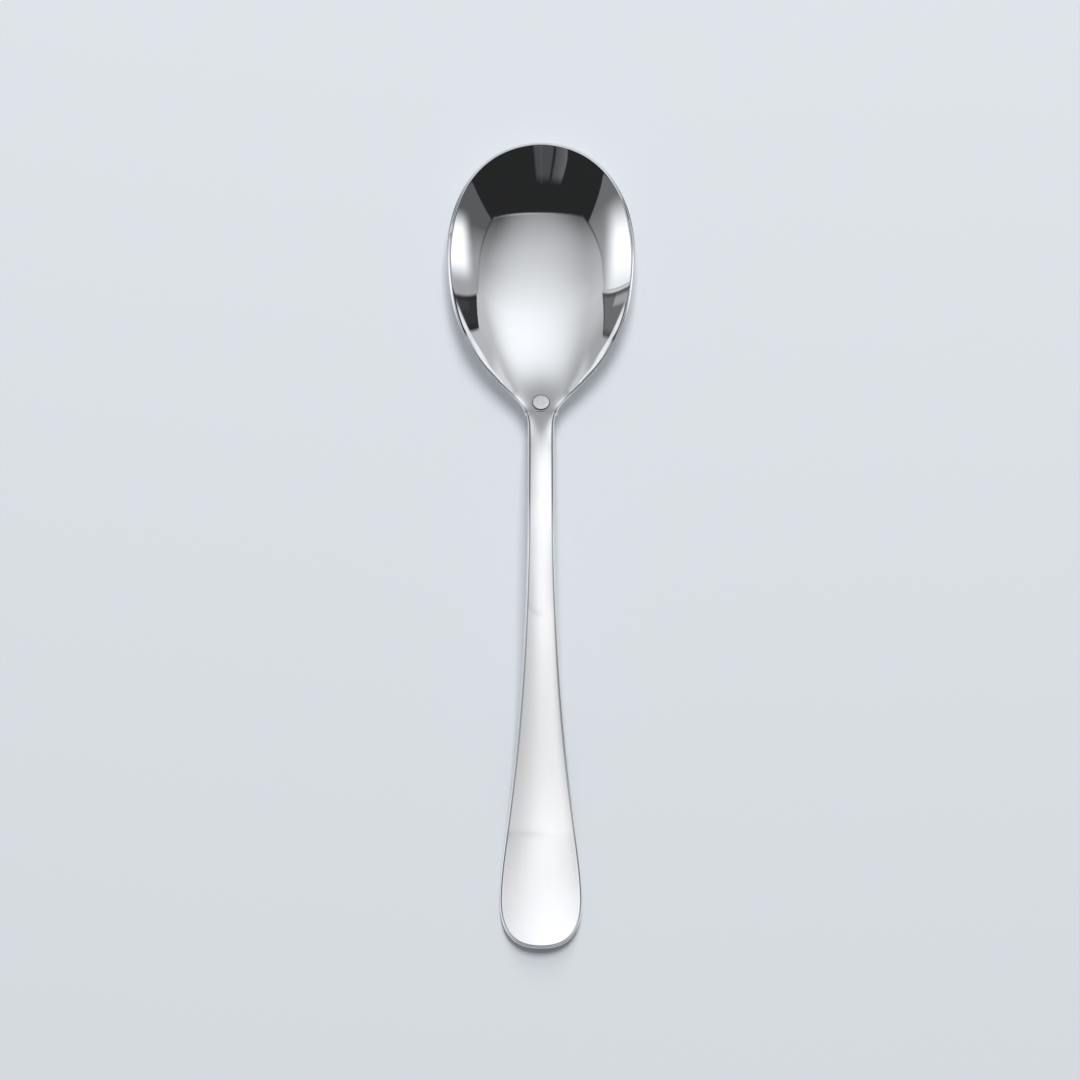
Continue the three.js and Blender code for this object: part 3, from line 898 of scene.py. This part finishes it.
polishMarks = polishGroup(polishForm)
paintedRimShade = paintedRimShadeGroup()
bowlSteel = steel("bowlMirrorSteel", polishMarks, paintedRimShade, bowlFinish)
handleSteel = steel("handleMirrorSteel", polishMarks, paintedRimShade, handleFinish)
rivetSteel = steel("rivetSatinSteel", polishMarks, paintedRimShade, rivetFinish)
print("finishes made:", bowlSteel.name, handleSteel.name, rivetSteel.name)

bowl = addPiece("spoon_bowl", bowlMesh(bowlForm))
weld(bowl)
drill(bowl, drillForm)
bowl.data.materials.clear()
bowl.data.materials.append(bowlSteel)
smoothOver(bowl)
markPaintedRimShade(bowl)
print("bowl made:", len(bowl.data.polygons), "faces")

handle = addPiece("spoon_handle", handleSpine(handleForm))
addTree(handle, handleSweepTree(handleForm), {
    "Ring Points": handleForm["ringPoints"],
    "Edge Round": handleForm["edgeRound"],
    "Back Crown Radius": line["backCrownRadius"],
    "Spoon Length": line["length"],
    "Steel": handleSteel,
})
settle(handle)
drill(handle, drillForm)
smoothOver(handle)
markPaintedRimShade(handle)
print("handle made:", len(handle.data.polygons), "faces")

rivet = addPiece("neck_rivet", rivetPoint())
addTree(rivet, rivetTree(rivetForm), {**rivetForm, "Steel": rivetSteel})
settle(rivet)
smoothOver(rivet)
print("rivet made:", len(rivet.data.polygons), "faces")

for piece, node, slotName in (
    (bowl, "bowl", "mirror_steel"),
    (handle, "handle", "mirror_steel"),
    (rivet, "rivet", "satin_steel"),
):
    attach(piece, "root")
    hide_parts(node)

# Floor

floorForm = {"half": 6.0, "level": -0.0001, "colour": (0.735, 0.768, 0.815, 1), "roughness": 0.9}


def floorPlane(form):
    half = form["half"]
    corners = [(-half, -half, form["level"]), (half, -half, form["level"])]
    corners += [(half, half, form["level"]), (-half, half, form["level"])]
    mesh = bpy.data.meshes.new("paleFloor")
    mesh.from_pydata(corners, [], [(0, 1, 2, 3)])
    material = bpy.data.materials.new("paleFloor")
    material.use_nodes = True
    shader = material.node_tree.nodes["Principled BSDF"]
    shader.inputs["Base Color"].default_value = form["colour"]
    shader.inputs["Roughness"].default_value = form["roughness"]
    shader.inputs["Specular IOR Level"].default_value = 0.0
    mesh.materials.append(material)
    return addPiece("pale_floor", mesh)


floor = floorPlane(floorForm)

# Studio: a tent that the steel reflects, plain light for everything else.
# Tones are as seen in the bowl. Slants are on a flat ceiling one unit above the spoon:
# aside is across it, ahead is along it. Zeniths and turns are degrees.

tent = {
    "gain": 1.25,  # from tone to strength
    "colour": (0.96, 0.98, 1.0, 1),
    "plain": (0.265, 0.278, 0.292, 1),  # what the floor gets
    "plainStrength": 1.0,
    "leastUp": 0.02,  # so that slants stay finite
    "leastForward": 0.05,
    "frontEdge": -0.309,  # where the ceiling stops towards the handle
    "frontBend": 0.045,
    "frontSoft": 0.012,
    "edgeLine": 0.56,  # a bright line along that edge
    "edgeLineWidth": 0.016,
    "edgeLineLeast": 0.3,  # share of it that is left away from the middle
    "edgeLineAside": (-0.25, 0.25),
    "edgeLineShare": (0.35, 1),
    "base": (0.1, 0.52),  # the ceiling's tone, front and back
    "baseAlong": (-0.28, 0.3),
    "baseDrop": 0.1,  # further back
    "baseDropAlong": (0.45, 1.1),
    "leanFront": -0.28,  # how much brighter one side is than the other
    "leanFrontAlong": (-0.1, 0.4),
    "leanBack": 0.12,
    "leanBackAlong": (0.5, 0.9),
    "dip": 0.28,  # a darker patch in the middle, far back
    "dipAlong": (0.65, 0.9),
    "dipAside": (0.1, 0.5),
    "peak": 0.46,  # a bright band on top of that
    "peakAt": 0.47,
    "peakBefore": 0.42,  # its reach to the front
    "peakTail": 0.45,  # share of it that stays there
    "peakAfter": 0.26,  # its reach to the back
    "peakAfterAside": 0.2,  # and more of that at the sides
    "peakAside": (0.03, 0.22),  # its middle, at the front and at the peak
    "peakAsideAlong": (-0.1, 0.3),
    "fall": (0.05, 1.05),  # how far aside the peak fades out
    "fallTighter": 1.9,  # at the front
    "fallTighterAlong": (-0.25, 0.2),
    "horizon": (0.55, 0.9),  # tone of the pale ground far off, front and back
    "horizonAlong": (-0.6, 0.6),
    "horizonFrom": (86.5, 80.5),  # zenith at the sides, further back
    "horizonTurn": (27.0, 34.0),
    "horizonSoft": (2.5, 5.0),
    "corner": 0.2,  # a brighter zone in both corners at the back
    "cornerZenith": (51.0, 67.0),
    "cornerTurn": (33.0, 41.0, 52.0, 60.0),
    "room": 0.02,  # the dark room before the ceiling
    "roomStrips": ((0.07, -0.11, 0.05, 0.05), (-0.135, -0.31, 0.05, 0.11)),  # from, to, tone at each
    "roomStripSoft": (0.02, 0.01),
    "roomStripsZenith": (36.0, 45.0),
    "seamTone": 0.06,  # between the ceiling and the panels at its sides
    "seamWidth": 0.04,
    "seamTo": 0.1,  # it grows faint from the front edge to here
    "seamShare": (0.95, 0.25),
    "seamGapSoft": 1.0,  # degrees
    "panelSoft": 0.02,
    "whiteLowFrom": -1.0,  # turn from which the white starts lower, to the front
    "gapZenith": (55.0, 84.0),
    "gapSoft": 0.8,
    "gapStopSoft": 0.6,
    "gapOverSoft": 0.04,
    "gapRimInto": (0.8, 2.2),
    "gapRimStop": 3.0,
    "gapRimOver": 0.12,
    "patchZenith": 71.0,
    "patchZenithSoft": 2.0,
    "patchInto": (4.0, 5.0),
    "glintBefore": 0.4,  # degrees before the gap's near edge
    "glintWidth": (0.15, 0.45),
}
tentSides = (
    {
        "way": 1,
        "seamAt": 1.0,  # where the panel starts
        "seamSlant": 1.05,
        "frontAt": 0.26,  # where it stops towards the handle
        "frontSlant": -0.735,
        "grey": (0.105, 0.33),
        "greyTurn": (-12.0, 5.0),
        "white": 1.15,
        "whiteZenith": (53.5, 69.0),
        "whiteSlant": 0.38,
        "litTurn": (-18.0, -4.5),  # the white comes in here
        "dimTurn": (5.0, 11.5),  # and goes here
        "dimLeast": 0.05,
        "gapStart": (14.0, 14.0),  # turn at the two ends of gapZenith
        "gapStop": 25.0,
        "gapAt": 1.03,
        "gapSlant": 1.2,
        "gapTone": 0.035,
        "gapRim": 0.015,
        "gapPatch": 0.05,  # low down, near the panel
        "glint": 0.38,
    },
    {
        "way": -1,
        "seamAt": 0.96,
        "seamSlant": 1.3,
        "frontAt": 0.415,
        "frontSlant": -0.985,
        "grey": (0.15, 0.3),
        "greyTurn": (-25.0, 0.0),
        "white": 1.15,
        "whiteZenith": (46.0, 67.0),
        "whiteSlant": 0.15,
        "litTurn": (-27.0, -1.0),
        "dimTurn": (4.0, 13.0),
        "dimLeast": 0.6,
        "gapStart": (13.9, 12.2),
        "gapStop": 27.0,
        "gapAt": 0.81,
        "gapSlant": 1.43,
        "gapTone": 0.15,
        "gapRim": 0.05,
        "gapPatch": 0.34,
        "glint": 0.45,
    },
)


def mixTone(tree, first, second, share):
    return calc(tree, "ADD", first, calc(tree, "MULTIPLY", share, calc(tree, "SUBTRACT", second, first)))


def past(tree, value, edge, soft):  # 0 before the edge, 1 past it
    return spread(tree, value, edge, edge + soft, 0, 1)


def inDegrees(tree, angle):
    return calc(tree, "MULTIPLY", angle, 180 / math.pi)


def bentAhead(tree, aside, ahead, form):  # the ceiling's front edge bends back to both sides
    square = calc(tree, "MINIMUM", calc(tree, "MULTIPLY", aside, aside), 1)
    return calc(tree, "SUBTRACT", ahead, calc(tree, "MULTIPLY", square, form["frontBend"]))


def beforeFront(tree, edgeAhead, form):  # 1 in the dark room before the ceiling
    return spread(tree, edgeAhead, form["frontEdge"] - form["frontSoft"], form["frontEdge"], 1, 0)


def onEdgeLine(tree, edgeAhead, form):
    lineEnd = form["frontEdge"] + form["edgeLineWidth"]
    return spread(tree, edgeAhead, form["frontEdge"], lineEnd, 1, 0, "SMOOTHSTEP")


def ceilingTone(tree, aside, ahead, edgeAhead, form):
    do = partial(calc, tree)
    off = do("SUBTRACT", ahead, form["peakAt"])
    side = do("MINIMUM", do("ABSOLUTE", aside), 1)
    reach = do("ADD", form["peakAfter"], do("MULTIPLY", side, form["peakAfterAside"]))
    after = do("POWER", do("DIVIDE", do("MAXIMUM", off, 0), reach), 3)
    before = do("POWER", do("DIVIDE", do("MAXIMUM", do("MULTIPLY", off, -1), 0), form["peakBefore"]), 2)
    rising = mixTone(tree, form["peakTail"], 1, do("EXPONENT", do("MULTIPLY", before, -1)))
    bell = do("MULTIPLY", rising, do("EXPONENT", do("MULTIPLY", after, -1)))
    middle = spread(tree, ahead, *form["peakAsideAlong"], *form["peakAside"])
    across = do("ABSOLUTE", do("SUBTRACT", aside, middle))
    across = do("MULTIPLY", across, spread(tree, ahead, *form["fallTighterAlong"], form["fallTighter"], 1))
    fall = spread(tree, across, *form["fall"], 1, 0, "SMOOTHSTEP")

    drop = spread(tree, ahead, *form["baseDropAlong"], 0, form["baseDrop"])
    base = do("SUBTRACT", spread(tree, ahead, *form["baseAlong"], *form["base"]), drop)
    leanFront = spread(tree, ahead, *form["leanFrontAlong"], form["leanFront"], 0)
    leanBack = spread(tree, ahead, *form["leanBackAlong"], 0, form["leanBack"])
    lean = do("MULTIPLY", do("ADD", leanFront, leanBack), spread(tree, aside, -1, 1, -1, 1))
    base = do("MULTIPLY", base, do("ADD", lean, 1))
    dip = spread(tree, ahead, *form["dipAlong"], 0, form["dip"], "SMOOTHSTEP")
    dip = do("MULTIPLY", dip, spread(tree, side, *form["dipAside"], 1, 0, "SMOOTHSTEP"))
    base = do("MULTIPLY", base, do("SUBTRACT", 1, dip))
    tone = do("ADD", do("MULTIPLY", do("MULTIPLY", bell, form["peak"]), fall), base)
    edge = do("MULTIPLY", spread(tree, fall, 0, 1, form["edgeLineLeast"], 1), form["edgeLine"])
    edge = do("MULTIPLY", edge, spread(tree, aside, *form["edgeLineAside"], *form["edgeLineShare"]))
    return mixTone(tree, tone, edge, onEdgeLine(tree, edgeAhead, form))


def roomTone(tree, parts, zenith, form):
    do = partial(calc, tree)
    along = do("DIVIDE", parts[0], do("MAXIMUM", do("MULTIPLY", parts[1], -1), form["leastForward"]))
    startSoft, stopSoft = form["roomStripSoft"]
    tone = form["room"]
    for start, stop, startTone, stopTone in form["roomStrips"]:
        started = spread(tree, along, start, start - startSoft, 0, 1)
        notOver = spread(tree, along, stop - stopSoft, stop, 0, 1)
        strip = spread(tree, along, start, stop, startTone, stopTone)
        tone = do("ADD", tone, do("MULTIPLY", do("MULTIPLY", started, notOver), strip))
    low = spread(tree, zenith, *form["roomStripsZenith"], 0, 1, "SMOOTHSTEP")
    return mixTone(tree, form["room"], tone, low)


def sideTone(tree, value, room, parts, aside, ahead, zenith, form, side):
    do = partial(calc, tree)
    soft = form["panelSoft"]
    outward = do("MULTIPLY", parts[0], side["way"])
    out = do("MULTIPLY", aside, side["way"])
    turn = inDegrees(tree, do("ARCTAN2", parts[1], outward))
    over = do("SUBTRACT", out, do("ADD", side["seamAt"], do("MULTIPLY", ahead, side["seamSlant"])))
    overGap = do("SUBTRACT", out, do("ADD", side["gapAt"], do("MULTIPLY", ahead, side["gapSlant"])))
    behind = do("SUBTRACT", ahead, do("ADD", side["frontAt"], do("MULTIPLY", out, side["frontSlant"])))
    here = past(tree, outward, 0, soft / 2)

    # a grey panel that turns white lower down
    grey = spread(tree, turn, *side["greyTurn"], *side["grey"])
    slant = do("MINIMUM", do("SUBTRACT", turn, form["whiteLowFrom"]), 0)
    low = do("ADD", zenith, do("MULTIPLY", slant, side["whiteSlant"]))
    white = spread(tree, low, *side["whiteZenith"], 0, 1, "SMOOTHSTEP")
    lit = spread(tree, turn, *side["litTurn"], 0, 1, "SMOOTHSTEP")
    lit = do("MULTIPLY", lit, spread(tree, turn, *side["dimTurn"], 1, side["dimLeast"], "SMOOTHSTEP"))
    panel = mixTone(tree, grey, side["white"], do("MULTIPLY", white, lit))
    nearEdge = spread(tree, zenith, *form["gapZenith"], *side["gapStart"])
    intoGap = do("SUBTRACT", turn, nearEdge)  # degrees past the gap's near edge
    inPanel = do("MULTIPLY", past(tree, over, 0, soft), here)
    inPanel = do("MULTIPLY", inPanel, spread(tree, intoGap, 0, form["gapSoft"], 1, 0))
    value = mixTone(tree, value, panel, inPanel)

    # a dark gap behind it, with a darker rim and a glint along its near edge
    gapTo = side["gapStop"]
    stopSoft = form["gapStopSoft"]
    inGap = do("MULTIPLY", past(tree, intoGap, 0, form["gapSoft"]), here)
    inGap = do("MULTIPLY", inGap, spread(tree, turn, gapTo - stopSoft, gapTo + stopSoft, 1, 0))
    inGap = do("MULTIPLY", inGap, past(tree, overGap, -soft, form["gapOverSoft"]))
    rim = spread(tree, turn, gapTo - form["gapRimStop"], gapTo, 0, 1)
    rim = do("MAXIMUM", rim, spread(tree, overGap, 0, form["gapRimOver"], 1, 0))
    rim = do("MAXIMUM", rim, spread(tree, intoGap, *form["gapRimInto"], 1, 0))
    patch = past(tree, zenith, form["patchZenith"], form["patchZenithSoft"])
    patch = do("MULTIPLY", patch, spread(tree, intoGap, *form["patchInto"], 1, 0))
    gap = mixTone(tree, side["gapTone"], side["gapPatch"], patch)
    gap = mixTone(tree, gap, side["gapRim"], rim)
    value = mixTone(tree, value, gap, inGap)
    glint = do("ABSOLUTE", do("ADD", intoGap, form["glintBefore"]))
    glint = do("MULTIPLY", spread(tree, glint, *form["glintWidth"], 1, 0), here)
    glint = do("MULTIPLY", glint, past(tree, overGap, 0, form["gapOverSoft"]))
    value = mixTone(tree, value, side["glint"], glint)

    # the seam between ceiling and panel, and the room before both
    seam = spread(tree, do("ABSOLUTE", over), form["seamWidth"] / 2, form["seamWidth"], 1, 0)
    seam = do("MULTIPLY", seam, here)
    seam = do("MULTIPLY", seam, spread(tree, intoGap, -form["seamGapSoft"], 0, 1, 0))
    seam = do("MULTIPLY", seam, past(tree, ahead, form["frontEdge"] - soft, soft))
    seam = do("MULTIPLY", seam, spread(tree, ahead, form["frontEdge"], form["seamTo"], *form["seamShare"]))
    value = mixTone(tree, value, form["seamTone"], seam)
    front = do("MULTIPLY", here, spread(tree, behind, -soft, 0, 1, 0))
    front = do("MULTIPLY", front, past(tree, over, -soft, soft))
    return mixTone(tree, value, room, front)


def tentWorld(form, sides):
    world = bpy.data.worlds.new("studioTent")
    world.use_nodes = True
    tree = world.node_tree
    tree.nodes.clear()
    do = partial(calc, tree)
    direction = addNode(tree, "ShaderNodeTexCoord").outputs["Generated"]
    parts = addNode(tree, "ShaderNodeSeparateXYZ", {0: direction}).outputs
    up = do("MAXIMUM", parts[2], form["leastUp"])
    aside = do("DIVIDE", parts[0], up)
    ahead = do("DIVIDE", parts[1], up)
    zenith = inDegrees(tree, do("ARCCOSINE", parts[2]))

    room = roomTone(tree, parts, zenith, form)
    edgeAhead = bentAhead(tree, aside, ahead, form)
    value = ceilingTone(tree, aside, ahead, edgeAhead, form)
    value = mixTone(tree, value, room, beforeFront(tree, edgeAhead, form))
    for side in sides:
        value = sideTone(tree, value, room, parts, aside, ahead, zenith, form, side)
    back = inDegrees(tree, do("ARCTAN2", parts[1], do("ABSOLUTE", parts[0])))
    cornerTurn = form["cornerTurn"]
    corner = spread(tree, zenith, *form["cornerZenith"], 0, form["corner"], "SMOOTHSTEP")
    corner = do("MULTIPLY", corner, spread(tree, back, *cornerTurn[:2], 0, 1, "SMOOTHSTEP"))
    corner = do("MULTIPLY", corner, spread(tree, back, *cornerTurn[2:], 1, 0, "SMOOTHSTEP"))
    value = do("ADD", value, corner)
    ground = spread(tree, parts[1], *form["horizonAlong"], *form["horizon"])
    lowness = do("SUBTRACT", zenith, spread(tree, back, *form["horizonTurn"], *form["horizonFrom"]))
    soft = spread(tree, back, *form["horizonTurn"], *form["horizonSoft"])
    value = mixTone(tree, value, ground, spread(tree, lowness, 0, soft, 0, 1, "SMOOTHSTEP"))

    strength = do("MULTIPLY", value, form["gain"])
    seen = addNode(tree, "ShaderNodeBackground", {"Color": form["colour"], "Strength": strength})
    plain = addNode(tree, "ShaderNodeBackground", {"Color": form["plain"], "Strength": form["plainStrength"]})
    glossy = addNode(tree, "ShaderNodeLightPath").outputs["Is Glossy Ray"]
    mix = addNode(tree, "ShaderNodeMixShader", {0: glossy, 1: plain.outputs[0], 2: seen.outputs[0]})
    addNode(tree, "ShaderNodeOutputWorld", {"Surface": mix.outputs[0]})
    return world


bpy.context.scene.world = tentWorld(tent, tentSides)

# Soft key and a lower one from beyond the bowl's tip, and one broad panel for the handle alone

keyForm = {
    "place": (0.11, 1.36, 2.28),
    "aim": (0, 0, 0),
    "size": (0.75, 1.1),
    "power": 47.0,
    "colour": (1.0, 0.99, 0.97),
}
lowForm = {
    "place": (0, 2.6, 1.5),
    "aim": (0, 0, 0),
    "size": (0.3, 1.4),
    "power": 25.0,
    "colour": (1.0, 0.99, 0.97),
}
panelForm = {
    "place": (0.0, -3.0, 40.0),  # far off, so that all of the handle sees it alike
    "aim": (0.0, -3.0, 0),
    "size": (120.0, 70.0),
    "power": 26390.0,
    "colour": (1.0, 1.0, 1.0),
    "rise": (-1.5, 0.45),  # slants across
    "riseTone": (0.38, 1.12),
    "fall": (0.42, 1.0),
    "fallTone": 0.3,
    "fade": (-0.31, 0.36),  # slants along
    "fadeTone": (0.85, 0.12),
    "roomAside": (0.03, 0.55),  # where the middle is, how far the next two reach to its sides
    "roomTone": (0.34, 0.13),  # makes up for the dark room that the bowl shows, in the middle and aside
    "notch": (0.33, 0.1),  # and this for the bright line along its edge
    "roomFade": (-0.55, -0.33),
    "roomFar": 0.45,
}


def softBox(name, form):
    light = bpy.data.lights.new(name, "AREA")
    light.shape = "RECTANGLE"
    light.size, light.size_y = form["size"]
    light.energy = form["power"]
    light.color = form["colour"]
    box = bpy.data.objects.new(name, light)
    bpy.context.scene.collection.objects.link(box)
    box.location = form["place"]
    box.rotation_euler = (Vector(form["aim"]) - Vector(form["place"])).to_track_quat("-Z", "Y").to_euler()
    box.visible_camera = False
    return box


def panelRamps(light, form):  # brightest a little to one side, fading out towards the bowl
    light.use_nodes = True
    tree = light.node_tree
    tree.nodes.clear()
    do = partial(calc, tree)
    place = addNode(tree, "ShaderNodeNewGeometry").outputs["Parametric"]
    parts = addNode(tree, "ShaderNodeSeparateXYZ", {0: place}).outputs
    low = [(form["place"][i] - form["size"][i] / 2) / form["place"][2] for i in (0, 1)]
    high = [(form["place"][i] + form["size"][i] / 2) / form["place"][2] for i in (0, 1)]
    aside = spread(tree, parts[0], 0, 1, low[0], high[0])
    ahead = spread(tree, parts[1], 0, 1, low[1], high[1])
    rise = spread(tree, aside, *form["rise"], *form["riseTone"])
    fall = spread(tree, aside, *form["fall"], 1, form["fallTone"], "SMOOTHSTEP")
    fade = spread(tree, ahead, *form["fade"], *form["fadeTone"])

    middle, reach = form["roomAside"]
    off = do("ABSOLUTE", do("SUBTRACT", aside, middle))
    edgeAhead = bentAhead(tree, aside, ahead, tent)
    inRoom = beforeFront(tree, edgeAhead, tent)
    room = spread(tree, off, 0, reach, *form["roomTone"], "SMOOTHSTEP")
    room = do("MULTIPLY", room, spread(tree, ahead, *form["roomFade"], form["roomFar"], 1))
    room = do("MULTIPLY", room, inRoom)
    notch = do("MULTIPLY", onEdgeLine(tree, edgeAhead, tent), do("SUBTRACT", 1, inRoom))
    notch = do("MULTIPLY", notch, spread(tree, off, 0, reach, *form["notch"], "SMOOTHSTEP"))
    strength = do("ADD", do("MULTIPLY", do("MULTIPLY", rise, fall), fade), room)
    strength = do("MAXIMUM", do("SUBTRACT", strength, notch), 0)
    glow = addNode(tree, "ShaderNodeEmission", {"Color": (1, 1, 1, 1), "Strength": strength})
    addNode(tree, "ShaderNodeOutputLight", {"Surface": glow.outputs[0]})


keyLight = softBox("softKey", keyForm)
lowLight = softBox("lowKey", lowForm)
for light in (keyLight, lowLight):
    light.visible_glossy = False
handlePanel = softBox("handlePanel", panelForm)
panelRamps(handlePanel.data, panelForm)
handleOnly = bpy.data.collections.new("handleOnly")
handleOnly.objects.link(handle)
handlePanel.light_linking.receiver_collection = handleOnly
lowLight.light_linking.blocker_collection = handleOnly  # it lengthens the shadow at the handle's end
print("studio lit")

# Camera straight above, the bowl's tip at the top of the picture

viewForm = {"lens": 180.0, "sensor": 36.0, "frameWidth": 243.7, "aimX": -0.22, "aimY": 1.52, "aimZ": 5.0}


def addCamera(form):
    camera = bpy.data.cameras.new("overhead")
    camera.lens = form["lens"]
    camera.sensor_width = form["sensor"]
    overhead = bpy.data.objects.new("overhead", camera)
    bpy.context.scene.collection.objects.link(overhead)
    distance = form["frameWidth"] * form["lens"] / form["sensor"]
    overhead.location = (form["aimX"] * mm, form["aimY"] * mm, (form["aimZ"] + distance) * mm)
    bpy.context.scene.camera = overhead


addCamera(viewForm)
bpy.context.scene.view_settings.view_transform = "Standard"
